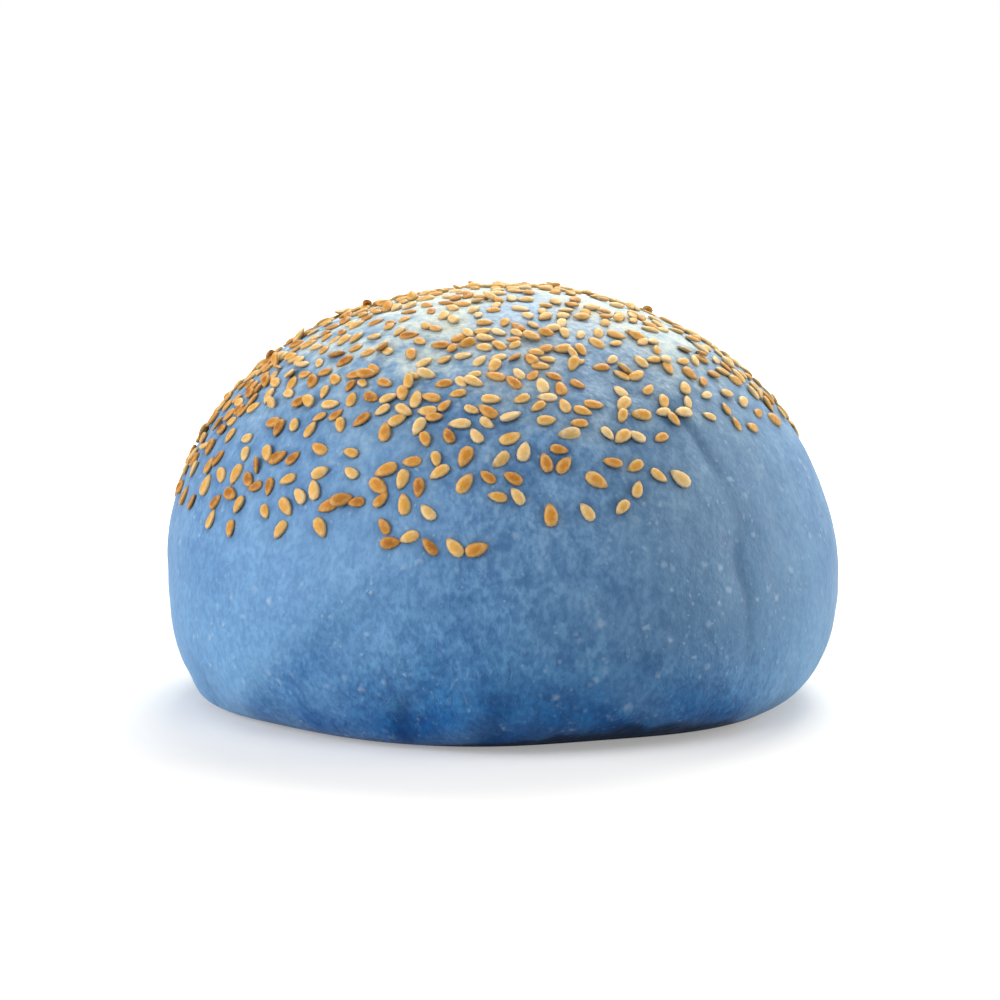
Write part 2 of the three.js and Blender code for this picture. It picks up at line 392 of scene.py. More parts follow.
def crust_at(azimuth, turn):
    """The crust's point and outward direction above the waist."""
    step = 0.5
    top = min(turn, 90 - 2 * step)
    azimuths = np.array([azimuth, azimuth + step, azimuth - step, azimuth, azimuth])
    turns = np.array([turn, top, top, top + step, top - step])
    radius, height = outline(turns)
    points = uneven_points(on_circle(azimuths, radius, height))
    outward = np.cross(points[1] - points[2], points[3] - points[4])
    return points[0], outward / np.linalg.norm(outward)


# Where the seeds fell

def within_patch(azimuth, patch):
    """How far an azimuth lies inside a patch, from 0 to 1 at its middle."""
    off = turn_between(azimuth, patch["azimuth"]) / patch["half_spread"]
    return math.exp(-off * off)


def seed_chance(azimuth, height):
    """How likely a seed is to stick at a place, from 0 to 1."""
    bare = within_patch(azimuth, BARE_PATCH)
    low = within_patch(azimuth, LOW_PATCH)
    back = (1 - math.cos(math.radians(azimuth))) / 2
    line = SEED_LINE + BARE_PATCH["rise"] * bare - LOW_PATCH["drop"] * low + BACK_RISE * back
    stuck = smooth_step(line - SEED_FADE / 2, line + SEED_FADE / 2, height)
    towards = (1 + math.cos(math.radians(azimuth - CROWDED_SIDE["azimuth"]))) / 2
    thin = THIN_SHARE + CROWDED_SIDE["gain"] * towards * towards
    full = smooth_step(THIN_BELOW - SEED_FADE / 2, THIN_BELOW + SEED_FADE / 2, height)
    return stuck * (thin * (1 - full) + full) * (1 - BARE_PATCH["thinning"] * bare)


def strew_seeds():
    """Every seed on the roll, in the order in which it fell."""
    draw = make_draw(FIRST_DRAW)
    seeds = []
    places = np.empty((0, 3))
    for _ in range(SEED_TRIES):
        azimuth = 360 * draw() - 180
        height = SEED_LINE - SEED_FADE + (HEIGHT - SEED_LINE + SEED_FADE) * draw()
        luck = draw()
        lodging = draw()
        yaw = 360 * draw()
        high = smooth_step(SMALL_CROWN["from"], SMALL_CROWN["to"], height)
        fineness = 1 - SMALL_CROWN["share"] * high
        size = fineness * (1 + SEED_SPREAD * (2 * draw() - 1))
        if luck > seed_chance(azimuth, height):
            continue
        point, outward = crust_at(azimuth, turn_at_height(height))
        nearest = np.linalg.norm(places - point, axis=1).min() if seeds else math.inf
        rides = nearest < SEED_SPACING * fineness
        if rides and (nearest < RIDER_SPACING * fineness or lodging > RIDER_SHARE):
            continue
        seeds.append({"point": point, "outward": outward, "yaw": yaw, "size": size})
        places = np.vstack([places, point])
    return seeds


def seed_basis(seed):
    """The directions across, along and out of a seed as it lies on the crust."""
    outward = Vector(seed["outward"])
    level = Vector((0, 0, 1)) if abs(outward.z) < 0.9 else Vector((1, 0, 0))
    along = level.cross(outward).normalized()
    along.rotate(Quaternion(outward, math.radians(seed["yaw"])))
    return along.cross(outward), along, outward


def settle_seeds(seeds):
    """Lifts and tilts each seed that fell partly on earlier ones, and places all of them."""
    draw = make_draw(FIRST_DRAW + 1)
    for i, seed in enumerate(seeds):
        across, along, outward = seed_basis(seed)
        lift = 0.0
        lean = Vector((0, 0, 0))
        for other in seeds[:i]:
            to_other = Vector(other["point"] - seed["point"])
            distance = to_other.length
            if distance > SEED_LENGTH * (1 + SEED_SPREAD):
                continue
            flat = (to_other - outward * to_other.dot(outward)).normalized()
            overlap = seed_reach(seed, flat) + seed_reach(other, flat) - distance
            if overlap > lift:
                lift = overlap
                lean = flat
        lift = min(RIDE["most"], RIDE["share"] * max(0, lift - RIDE["free"]))
        turned = Matrix((across, along, outward)).transposed()
        if lift > 0:
            turned = Matrix.Rotation(-RIDE["tilt"] * lift, 3, outward.cross(lean)) @ turned
        on_edge = draw() < EDGEWISE_SHARE
        rock = ROCK["edge"] if on_edge else ROCK["side"]
        turned = Matrix.Rotation(ROCK["end"] * (draw() - 0.5), 3, across) @ turned
        turned = Matrix.Rotation(rock * (draw() - 0.5), 3, along) @ turned
        raised = SEED_RAISED + UNEVEN_RAISED * (draw() - 0.5) + RIDE["rise"] * lift
        if on_edge:
            raised += EDGE_RAISED
        seed["middle"] = Vector(seed["point"]) + outward * raised
        seed["lay"] = turned.to_quaternion()
        seed["kind"] = int(draw() * SEED_KINDS)
        seed["toast"] = min(1, max(0, draw() - PALER_SIDE * seed["point"][0] / HALF_WIDTH))
        seed["plump"] = PLUMPNESS["least"] + PLUMPNESS["more"] * draw()


def seed_reach(seed, direction):
    """Half the seed's length along a direction in the crust's surface."""
    across, along, _ = seed_basis(seed)
    wide = direction.dot(across) / (SEED_WIDTH / 2)
    long = direction.dot(along) / (SEED_LENGTH / 2)
    return seed["size"] / math.sqrt(wide * wide + long * long)


# The crust's mesh

def noise_over(points, size, stretch=1.0, shift=0.0):
    """Smooth noise from -1 to 1, with bumps of about this size, drawn out upwards by stretch."""
    scaled = points / (size * np.array([1, 1, stretch])) + shift
    return np.array([noise.noise(place) for place in scaled.tolist()])


def bumps_over(points, bumps):
    """The sum of several noises, each with its height, size, stretch and shift."""
    return sum(height * noise_over(points, *rest) for height, *rest in bumps)


def ball_grid(cells):
    """Directions and quads of a cube's six gridded sides, swollen to a ball."""
    steps = np.tan(np.radians(np.linspace(-45, 45, cells + 1)))
    u, v = np.meshgrid(steps, steps, indexing="ij")
    one = np.ones_like(u)
    sides = [(one, u, v), (-one, v, u), (v, one, u), (u, -one, v), (u, v, one), (v, u, -one)]
    directions = np.concatenate([np.stack(side, axis=-1).reshape(-1, 3) for side in sides])
    directions /= np.linalg.norm(directions, axis=1)[:, None]
    ids = np.arange(6 * (cells + 1) ** 2).reshape(6, cells + 1, cells + 1)
    corners = [ids[:, :-1, :-1], ids[:, 1:, :-1], ids[:, 1:, 1:], ids[:, :-1, 1:]]
    quads = np.stack(corners, axis=-1).reshape(-1, 4)
    _, first, merged = np.unique(np.round(directions, 5), axis=0, return_index=True, return_inverse=True)
    return directions[first], merged.reshape(-1)[quads]


def turns_by_length(low, high, shares):
    """The turns of the outline at shares of its length between two turns."""
    turns = np.linspace(low, high, 2001)
    radius, height = outline(turns)
    run = np.concatenate([[0], np.cumsum(np.hypot(np.diff(radius), np.diff(height)))])
    return np.interp(shares, run / run[-1], turns)


def plain_crust(directions):
    """Spreads the ball's points evenly over the dome, the side and the foot of the plain outline."""
    latitude = np.degrees(np.arcsin(np.clip(directions[:, 2], -1, 1)))
    azimuth = azimuth_of(directions)
    dome = turns_by_length(0, 90, np.clip(latitude / 90, 0, 1))
    side = turns_by_length(-90, 0, np.clip(latitude / 45 + 1, 0, 1))
    radius, height = outline(np.where(latitude >= 0, dome, side))
    under = latitude < -45
    radius = np.where(under, FOOT_RADIUS * (90 + latitude) / 45, radius)
    height = np.where(under, 0, height)
    return on_circle(azimuth, radius, height)


def dent_along(points, path, half_width):
    """How deep each point lies in a dent along a path of heights and azimuths, from 0 to 1, how far it is
    from the path's middle, and how far within the path's ends.
    """
    heights, azimuths = zip(*path)
    middle = np.interp(points[:, 2], heights, azimuths)
    radius = np.hypot(points[:, 0], points[:, 1])
    off = np.radians(turn_between(azimuth_of(points), middle)) * radius
    ends = smooth_step(heights[0] - 4, heights[0] + 3, points[:, 2])
    ends *= 1 - smooth_step(heights[-1] - 3, heights[-1] + 3, points[:, 2])
    return ends * np.exp(-((off / half_width) ** 2)), off, ends


def furrow_depth(points, path, half_width):
    """How deep each point lies in a furrow round the crown, from 0 to 1."""
    azimuths, heights = zip(*path)
    azimuth = azimuth_of(points)
    middle = np.interp(azimuth, azimuths, heights)
    ends = smooth_step(azimuths[0] - 4, azimuths[0] + 4, azimuth)
    ends *= 1 - smooth_step(azimuths[-1] - 4, azimuths[-1] + 4, azimuth)
    return ends * np.exp(-(((points[:, 2] - middle) / half_width) ** 2))


def pucker_depth(points):
    """Short upright grooves just above the foot."""
    azimuth = azimuth_of(points)
    radius = np.hypot(points[:, 0], points[:, 1])
    depth = np.zeros(len(points))
    for middle, deep in PUCKERS:
        wander = middle + PUCKER_WANDER * np.sin(points[:, 2] / 3 + middle)
        off = np.radians(turn_between(azimuth, wander)) * radius
        depth += deep * np.exp(-((off / PUCKER_WIDTH) ** 2))
    low = smooth_step(*PUCKERS_SET_IN, points[:, 2])
    high = smooth_step(*PUCKERS_FADE, points[:, 2])
    return depth * low * (1 - high)


def cheek_rise(points):
    """The left cheek stands a little proud of the front and ends along a soft slanting line."""
    _, off, ends = dent_along(points, CHEEK, 1.0)
    step = 1 - np.tanh(off / CHEEK_RISE["edge"])
    return CHEEK_RISE["height"] * ends * step * np.exp(-((off / CHEEK_RISE["reach"]) ** 2))


def undercut_shade(points):
    """Painted shade where the front right is drawn in over the foot."""
    off = turn_between(azimuth_of(points), UNDERCUT["azimuth"]) / UNDERCUT["half_spread"]
    ragged = 1 + bumps_over(points, UNDERCUT_RAGS)
    rise = points[:, 2] / (UNDERCUT["height"] * ragged * np.exp(-(off**2)))
    return 1 - smooth_step(*UNDERCUT_EDGE, rise)


def skin_deep_tone_and_shade(points):
    """How strongly the crust turns deeper blue, with painted shade, towards the foot: most at the front,
    between two slanting lines.
    """
    azimuth = azimuth_of(points)
    deep = np.ones(len(points))
    edges = ((CHEEK, 1, SHARP_SHARE["left"]), (DEEP_RIGHT, -1, SHARP_SHARE["right"]))
    for path, side, sharp in edges:
        heights, azimuths = zip(*path)
        inside = side * (azimuth - np.interp(points[:, 2], heights, azimuths))
        deep *= sharp * smooth_step(*SHARP_EDGE, inside) + (1 - sharp) * smooth_step(*SOFT_EDGE, inside)
    clouds = bumps_over(points, DEEP_CLOUDS) * (0.3 + 0.7 * deep)
    return np.clip(DEEP_ELSEWHERE + (DEEP_FRONT - DEEP_ELSEWHERE) * deep + clouds, 0, 1)


def skin_dulness(points):
    """The blue is a little greyer on the front right."""
    off = turn_between(azimuth_of(points), DULL_PATCH["azimuth"]) / DULL_PATCH["half_spread"]
    level = smooth_step(*DULL_SETS_IN, points[:, 2]) * (1 - smooth_step(*DULL_FADES, points[:, 2]))
    return DULL_PATCH["share"] * np.exp(-(off**2)) * level


def skin_painted_highlight(points):
    """The height at which each point counts for the crown's painted highlight, which reaches lowest at the
    front.
    """
    off = turn_between(azimuth_of(points), HIGHLIGHT_FRONT["azimuth"]) / HIGHLIGHT_FRONT["half_spread"]
    lower = HIGHLIGHT_FRONT["elsewhere"] + HIGHLIGHT_FRONT["drop"] * np.exp(-(off**2))
    return points[:, 2] + lower * smooth_step(*HIGHLIGHT_EVEN_WITHIN, np.hypot(points[:, 0], points[:, 1]))


def seed_dents(points, seeds):
    """Shallow dents that the seeds pressed into the crust."""
    tree = KDTree(len(seeds))
    for i, seed in enumerate(seeds):
        tree.insert(Vector(seed["point"]), i)
    tree.balance()
    near = np.full(len(points), 99.0)
    for i in np.nonzero(points[:, 2] > SEED_LINE - SEED_FADE)[0]:
        near[i] = tree.find(points[i])[2]
    return SEED_DENT["depth"] * np.exp(-((near / SEED_DENT["reach"]) ** 2))


def skin_relief(points, seeds):
    """How far the skin stands proud of the crust's form, and how much painted shade each point gets in
    creases, round the seeds and over the foot.
    """
    height = points[:, 2]
    lower = 1 - smooth_step(*LOW_BUMPS_FADE, height)
    bumps = bumps_over(points, BUMPS) + bumps_over(points, LOW_BUMPS) * lower
    broken = BREAK_LEVELS["mean"] + bumps_over(points, BREAKS)
    broken = np.clip(broken, BREAK_LEVELS["least"], BREAK_LEVELS["most"])
    fold, off, ends = dent_along(points, FOLD, FOLD_WIDTH)
    fold *= FOLD_LOW_SHARE + (1 - FOLD_LOW_SHARE) * smooth_step(*FOLD_DEEPENS, height)
    lips = sum(share * ends * np.exp(-(((off - middle) / spread) ** 2)) for middle, spread, share in LIPS)
    side_fold, _, _ = dent_along(points, SIDE_FOLD, FOLD_WIDTH)
    furrows = sum(furrow_depth(points, path, FURROW_WIDTH) for path in FURROWS)
    creases = FOLD_DEPTH * fold + SIDE_FOLD_DEPTH * side_fold + FURROW_DEPTH * furrows
    crease_and_painted_shade = creases * broken + pucker_depth(points)
    dents = seed_dents(points, seeds)
    bumps *= smooth_step(*BUMPS_SET_IN, height)
    relief = bumps + LIP_HEIGHT * lips + cheek_rise(points) - crease_and_painted_shade - dents
    # Painted shade round the seeds, fainter on the crown
    fall = DENT_SHADE["fall"] * smooth_step(DENT_SHADE["from"], DENT_SHADE["to"], height)
    dent_shade = (DENT_SHADE["low"] - fall) * dents
    return relief, np.clip(crease_and_painted_shade + dent_shade + undercut_shade(points), 0, 1)


def mesh_of(name, points, faces):
    mesh = bpy.data.meshes.new(name)
    mesh.from_pydata((points * MM).tolist(), [], faces.tolist())
    mesh.validate()
    mesh.shade_smooth()
    return mesh


def add_piece(name, mesh):
    piece = bpy.data.objects.new(name, mesh)
    bpy.context.scene.collection.objects.link(piece)
    return piece


def make_crust(seeds):
    directions, quads = ball_grid(GRID_CELLS)
    points = uneven_points(plain_crust(directions))
    mesh = mesh_of("crust", points, quads)
    outward = np.empty(len(points) * 3)
    mesh.vertex_normals.foreach_get("vector", outward)
    relief, crease_and_painted_shade = skin_relief(points, seeds)
    points += outward.reshape(-1, 3) * relief[:, None]
    points[:, 2] = np.maximum(0, points[:, 2])
    mesh.vertices.foreach_set("co", (points * MM).ravel())
    masks = {
        # Painted shade in creases, round the seeds and over the foot
        "crease_and_painted_shade": crease_and_painted_shade,
        # Deeper blue with painted shade towards the foot
        "deep_tone_and_shade": skin_deep_tone_and_shade(points),
        "dulness": skin_dulness(points),
        # Height for the crown's painted highlight
        "painted_highlight_height": skin_painted_highlight(points),
    }
    for name, values in masks.items():
        mesh.attributes.new(name, "FLOAT", "POINT").data.foreach_set("value", values)
    mesh.update()
    return add_piece("crust", mesh)


# The seeds' mesh

def seed_shape(kind):
    """One sesame seed of unit length and width, pointed at -Y and blunt at +Y, a little bent."""
    draw = make_draw(FIRST_KIND_DRAW + kind)
    tip_power = TIP_POWER["least"] + TIP_POWER["more"] * draw()
    blunt_power = BLUNT_POWER["least"] + BLUNT_POWER["more"] * draw()
    bend = SEED_BEND * (draw() - 0.5)
    twist = SEED_TWIST * (draw() - 0.5)
    widest = tip_power / (tip_power + blunt_power)
    most = widest**tip_power * (1 - widest) ** blunt_power
    points = [(0, -0.5, 0)]
    for ring in range(1, SEED_RINGS + 1):
        t = 0.5 - 0.5 * math.cos(math.pi * ring / (SEED_RINGS + 1))
        reach = 0.5 * t**tip_power * (1 - t) ** blunt_power / most
        for side in range(SEED_SIDES):
            turn = 2 * math.pi * side / SEED_SIDES
            x = reach * math.cos(turn)
            z = reach * math.sin(turn) * (1 + SEED_FLATNESS * math.cos(2 * turn))
            swing = twist * (t - 0.5)
            across = x * math.cos(swing) - z * math.sin(swing)
            out = x * math.sin(swing) + z * math.cos(swing)
            points.append((across + bend * math.sin(math.pi * t), t - 0.5, out))
    points.append((0, 0.5, 0))
    faces = []
    for side in range(SEED_SIDES):
        after = (side + 1) % SEED_SIDES
        faces.append((0, 1 + side, 1 + after))
        for ring in range(SEED_RINGS - 1):
            low = 1 + ring * SEED_SIDES
            high = low + SEED_SIDES
            faces.append((low + side, high + side, high + after, low + after))
        last = 1 + (SEED_RINGS - 1) * SEED_SIDES
        faces.append((last + side, len(points) - 1, last + after))
    mesh = bpy.data.meshes.new(f"seed shape {kind}")
    mesh.from_pydata(points, [], faces)
    seat = mesh.attributes.new("seat", "FLOAT_VECTOR", "POINT")
    seat.data.foreach_set("vector", np.array(points).ravel() * 2)
    return bpy.data.objects.new(f"seed shape {kind}", mesh)


def seed_tree():
    """Lays a seed shape on every point, as the point's attributes say, and makes them one mesh."""
    tree = bpy.data.node_groups.new("strewn seeds", "GeometryNodeTree")
    face = tree.interface
    face.new_socket("Points", in_out="INPUT", socket_type="NodeSocketGeometry")
    face.new_socket("Seed shapes", in_out="INPUT", socket_type="NodeSocketCollection")
    face.new_socket("Seed size", in_out="INPUT", socket_type="NodeSocketVector")
    face.new_socket("Finish", in_out="INPUT", socket_type="NodeSocketMaterial")
    face.new_socket("Seeds", in_out="OUTPUT", socket_type="NodeSocketGeometry")
    graph = Graph(tree)
    given = graph.add("NodeGroupInput").outputs
    shapes = graph.add("GeometryNodeCollectionInfo", {"Collection": given["Seed shapes"]})
    shapes.inputs["Separate Children"].default_value = True
    shapes.inputs["Reset Children"].default_value = True
    lay = graph.add("GeometryNodeInputNamedAttribute", {"Name": "lay"}, data_type="QUATERNION")
    kind = graph.add("GeometryNodeInputNamedAttribute", {"Name": "kind"}, data_type="INT")
    grown = graph.add("GeometryNodeInputNamedAttribute", {"Name": "grown"}, data_type="FLOAT_VECTOR")
    size = graph.vector("MULTIPLY", grown.outputs["Attribute"], given["Seed size"])
    laid = graph.add(
        "GeometryNodeInstanceOnPoints",
        {
            "Points": given["Points"],
            "Instance": shapes.outputs["Instances"],
            "Pick Instance": True,
            "Instance Index": kind.outputs["Attribute"],
            "Rotation": lay.outputs["Attribute"],
            "Scale": size,
        },
    )
    real = graph.add("GeometryNodeRealizeInstances", {"Geometry": laid.outputs["Instances"]})
    smooth = graph.add("GeometryNodeSetShadeSmooth", {"Geometry": real.outputs["Geometry"]})
    finished = graph.add(
        "GeometryNodeSetMaterial",
        {"Geometry": smooth.outputs["Geometry"], "Material": given["Finish"]},
    )
    graph.add("NodeGroupOutput", {"Seeds": finished.outputs["Geometry"]})
    return tree


def seed_points(seeds):
    """One point for each seed, with all that the tree and the seeds' colours need."""
    mesh = bpy.data.meshes.new("seed points")
    mesh.from_pydata([seed["middle"] * MM for seed in seeds], [], [])
    values = {
        "lay": ("QUATERNION", "value", [tuple(seed["lay"]) for seed in seeds]),
        "kind": ("INT", "value", [seed["kind"] for seed in seeds]),
        "toast": ("FLOAT", "value", [seed["toast"] for seed in seeds]),
        "grown": (
            "FLOAT_VECTOR",
            "vector",
            [(seed["size"], seed["size"], seed["size"] * seed["plump"]) for seed in seeds],
        ),
    }
    for name, (kind, field, numbers) in values.items():
        mesh.attributes.new(name, kind, "POINT").data.foreach_set(field, np.array(numbers).ravel())
    return add_piece("seed points", mesh)


def make_seeds(seeds, finish):
    shapes = bpy.data.collections.new("seed shapes")
    for kind in range(SEED_KINDS):
        shapes.objects.link(seed_shape(kind))
    points = seed_points(seeds)
    tree = seed_tree()
    modifier = points.modifiers.new("strewn seeds", "NODES")
    modifier.node_group = tree
    sockets = {item.name: item.identifier for item in tree.interface.items_tree}
    modifier[sockets["Seed shapes"]] = shapes
    modifier[sockets["Seed size"]] = [SEED_WIDTH * MM, SEED_LENGTH * MM, SEED_THICKNESS * MM]
    modifier[sockets["Finish"]] = finish
    depsgraph = bpy.context.evaluated_depsgraph_get()
    evaluated = points.evaluated_get(depsgraph)
    mesh = bpy.data.meshes.new_from_object(evaluated, preserve_all_data_layers=True, depsgraph=depsgraph)
    mesh.name = "sesame_seeds"
    points.modifiers.remove(modifier)
    bpy.data.objects.remove(points)
    for shape in list(shapes.objects):
        bpy.data.objects.remove(shape)
    bpy.data.collections.remove(shapes)
    return add_piece("sesame_seeds", mesh)


# Finishes

class Graph:
    """A node tree with short ways to add nodes and join them."""

    def __init__(self, tree):
        self.tree = tree

    def feed(self, socket, value):
        if isinstance(value, bpy.types.NodeSocket):
            self.tree.links.new(value, socket)
        else:
            socket.default_value = value

    def add(self, kind, inputs=None, **settings):
        node = self.tree.nodes.new(kind)
        for name, value in settings.items():
            setattr(node, name, value)
        for name, value in (inputs or {}).items():
            self.feed(node.inputs[name], value)
        return node

    def math(self, operation, *values):
        node = self.add("ShaderNodeMath", operation=operation)
        for socket, value in zip(node.inputs, values):
            self.feed(socket, value)
        return node.outputs[0]

    def mix(self, share, first, second):
        """One colour laid over another by a share from 0 to 1."""
        node = self.add("ShaderNodeMix", data_type="RGBA")
        self.feed(node.inputs[0], share)
        self.feed(node.inputs[6], first)
        self.feed(node.inputs[7], second)
        return node.outputs[2]

    def vector(self, operation, *values):
        """The same as math, for three numbers at once."""
        node = self.add("ShaderNodeVectorMath", operation=operation)
        for socket, value in zip(node.inputs, values):
            self.feed(socket, value)
        return node.outputs["Vector"]

    def toned(self, colour, change):
        """A colour made lighter or darker by a share, its red the most and its blue the least."""
        tint = self.vector("MULTIPLY", colour, TONE_TINT)
        return self.vector("MULTIPLY_ADD", tint, change, colour)

    def between(self, value, low, high, out_low=0.0, out_high=1.0):
        """Carries a value smoothly from one range to another."""
        node = self.add("ShaderNodeMapRange", interpolation_type="SMOOTHSTEP")
        for name, number in (
            ("Value", value),
            ("From Min", low),
            ("From Max", high),
            ("To Min", out_low),
            ("To Max", out_high),
        ):
            self.feed(node.inputs[name], number)
        return node.outputs["Result"]

    def ramp(self, value, stops):
        """A colour by a value from 0 to 1, through stops in rising order."""
        node = self.add("ShaderNodeValToRGB", {"Fac": value})
        elements = node.color_ramp.elements
        first, *middle, last = stops
        elements[0].position, elements[0].color = first
        elements[1].position, elements[1].color = last
        for place, colour in middle:
            elements.new(place).color = colour
        return node.outputs["Color"]

    def attribute(self, name, output):
        return self.add("ShaderNodeAttribute", attribute_name=name).outputs[output]

    def place(self):
        """The place on the object in millimetres."""
        where = self.add("ShaderNodeTexCoord").outputs["Object"]
        mapping = self.add("ShaderNodeMapping", {"Vector": where, "Scale": (1000, 1000, 1000)})
        return mapping.outputs["Vector"]


def new_group(name, inputs, outputs):
    """A shader node group with float inputs, a place, and float outputs."""
    tree = bpy.data.node_groups.new(name, "ShaderNodeTree")
    tree.interface.new_socket("Place", in_out="INPUT", socket_type="NodeSocketVector")
    for label in inputs:
        tree.interface.new_socket(label, in_out="INPUT", socket_type="NodeSocketFloat")
    for label in outputs:
        tree.interface.new_socket(label, in_out="OUTPUT", socket_type="NodeSocketFloat")
    graph = Graph(tree)
    return tree, graph, graph.add("NodeGroupInput").outputs


def grain_group():
    """Uneven tone with patches of a size, drawn out upwards by stretch."""
    tree, graph, given = new_group("baked grain", ["Size", "Stretch"], ["Tone"])
    tall = graph.math("MULTIPLY", given["Size"], given["Stretch"])
    size = graph.add("ShaderNodeCombineXYZ", {"X": given["Size"], "Y": given["Size"], "Z": tall})
    scaled = graph.vector("DIVIDE", given["Place"], size.outputs["Vector"])
    cloud = graph.add(
        "ShaderNodeTexNoise",
        {"Vector": scaled, "Scale": 1.0, "Detail": 3.0, "Roughness": 0.55},
    )
    graph.add("NodeGroupOutput", {"Tone": graph.between(cloud.outputs["Fac"], 0.28, 0.72)})
    return tree


def blister_group():
    """Small soft spots of uneven outline, one in some of the cells of a size, standing in clusters."""
    tree, graph, given = new_group("blisters", ["Cell", "Radius", "Share", "Bend"], ["Spot"])
    cell = graph.add("ShaderNodeCombineXYZ", {"X": given["Cell"], "Y": given["Cell"], "Z": given["Cell"]})
    wobble = graph.add("ShaderNodeTexNoise", {"Vector": given["Place"], "Scale": 0.8, "Detail": 1.0})
    centred = graph.vector("SUBTRACT", wobble.outputs["Color"], (0.5, 0.5, 0.5))
    bent = graph.vector("MULTIPLY", centred, given["Bend"])
    moved = graph.vector("ADD", given["Place"], bent)
    scaled = graph.vector("DIVIDE", moved, cell.outputs["Vector"])
    cells = graph.add("ShaderNodeTexVoronoi", {"Vector": scaled, "Scale": 1.0})
    lot = graph.add("ShaderNodeSeparateColor", {"Color": cells.outputs["Color"]})
    radius = graph.math("MULTIPLY", given["Radius"], graph.between(lot.outputs["Green"], 0, 1, 0.4, 1.0))
    distance = graph.math("MULTIPLY", cells.outputs["Distance"], given["Cell"])
    spot = graph.between(graph.math("DIVIDE", distance, radius), 0.15, 1.0, 1.0, 0.0)
    cluster = graph.add(
        "ShaderNodeTexNoise",
        {"Vector": given["Place"], "Scale": CLUSTERS["fineness"], "Detail": 1.0},
    )
    crowding = graph.between(cluster.outputs["Fac"], 0.38, 0.64, CLUSTERS["few"], CLUSTERS["many"])
    there = graph.math("LESS_THAN", lot.outputs["Red"], graph.math("MULTIPLY", given["Share"], crowding))
    strength = graph.between(lot.outputs["Blue"], 0, 1, 0.35, 1.0)
    shown = graph.math("MULTIPLY", spot, there)
    graph.add("NodeGroupOutput", {"Spot": graph.math("MULTIPLY", shown, strength)})
    return tree


def use_group(graph, group, output, **inputs):
    node = graph.add("ShaderNodeGroup", node_tree=group)
    for name, value in inputs.items():
        graph.feed(node.inputs[name], value)
    return node.outputs[output]


def new_material(name):
    material = bpy.data.materials.new(name)
    material.use_nodes = True
    graph = Graph(material.node_tree)
    shader = material.node_tree.nodes["Principled BSDF"]
    return material, graph, shader


def crust_tones(graph, grain, place):
    """The crust's uneven tones, from the widest patches to the finest grain."""
    return {
        name: use_group(graph, grain, "Tone", Place=place, Size=size, Stretch=stretch)
        for name, (size, stretch) in GRAINS.items()
    }


def body_colour(graph, tones):
    """The crust's colour by height: blue, lighter at the foot as painted light, and a whitish painted
    highlight on the crown with a frayed edge.
    """
    frays = [graph.math("MULTIPLY", tones[name], reach) for name, reach in HIGHLIGHT_FRAY.items()]
    frayed = graph.math("SUBTRACT", graph.math("ADD", *frays), sum(HIGHLIGHT_FRAY.values()) / 2)
    painted_highlight_height = graph.math("ADD", graph.attribute("painted_highlight_height", "Fac"), frayed)
    return graph.ramp(
        graph.math("DIVIDE", painted_highlight_height, HEIGHT),
        [
            # Lighter at the foot: painted light against the shade that falls there
            (0.0, paint(138, 188, 230)),
            (0.33, paint(106, 154, 202)),
            (0.6, paint(112, 155, 199)),
            (0.8, paint(134, 167, 198)),
            # Whitish painted highlight on the crown
            (0.87, paint(184, 202, 207)),
            (0.93, paint(208, 217, 211)),
            (1.0, paint(193, 201, 190)),
        ],
    )


def deep_and_shaded_colour(graph, height):
    """The crust's colour by height where it is a deeper blue and painted with shade towards the foot."""
    return graph.ramp(
        graph.math("DIVIDE", height, HEIGHT),
        [
            (0.0, paint(2, 82, 154)),
            (0.08, paint(18, 106, 176)),
            (0.2, paint(70, 130, 186)),
            (0.35, paint(92, 142, 192)),
            (0.55, paint(106, 151, 198)),
            (1.0, paint(110, 155, 202)),
        ],
    )


def pale_spots(graph, blisters, place, deep_tone_and_shade):
    """Blisters of three sizes, a little fainter where the crust is deep blue with painted shade."""
    spots = 0.0
    for cell, radius, share, bend, strength in BLISTERS:
        values = {"Cell": cell, "Radius": radius, "Share": share, "Bend": bend}
        spot = use_group(graph, blisters, "Spot", Place=place, **values)
        spots = graph.math("MAXIMUM", spots, graph.math("MULTIPLY", spot, strength))
    return graph.math("MULTIPLY", spots, graph.between(deep_tone_and_shade, 0.0, 1.0, 1.1, 0.95))


def mottled(graph, colour, tones, deep_tone_and_shade, dulness):
    """A colour made uneven by the tones, most where the crust is deep blue with painted shade and least
    where it is dull.
    """
    colour = graph.toned(colour, graph.between(tones["patches"], 0.1, 0.9, -0.12, 0.0))
    rough = graph.between(deep_tone_and_shade, 0.0, 1.0, 0.5, 1.0)
    rough = graph.math("SUBTRACT", rough, graph.math("MULTIPLY", dulness, 0.6))
    for name, spread in TONE_SHARES.items():
        change = graph.between(tones[name], 0.1, 0.9, -spread, spread)
        colour = graph.toned(colour, graph.math("MULTIPLY", change, rough))
    return colour


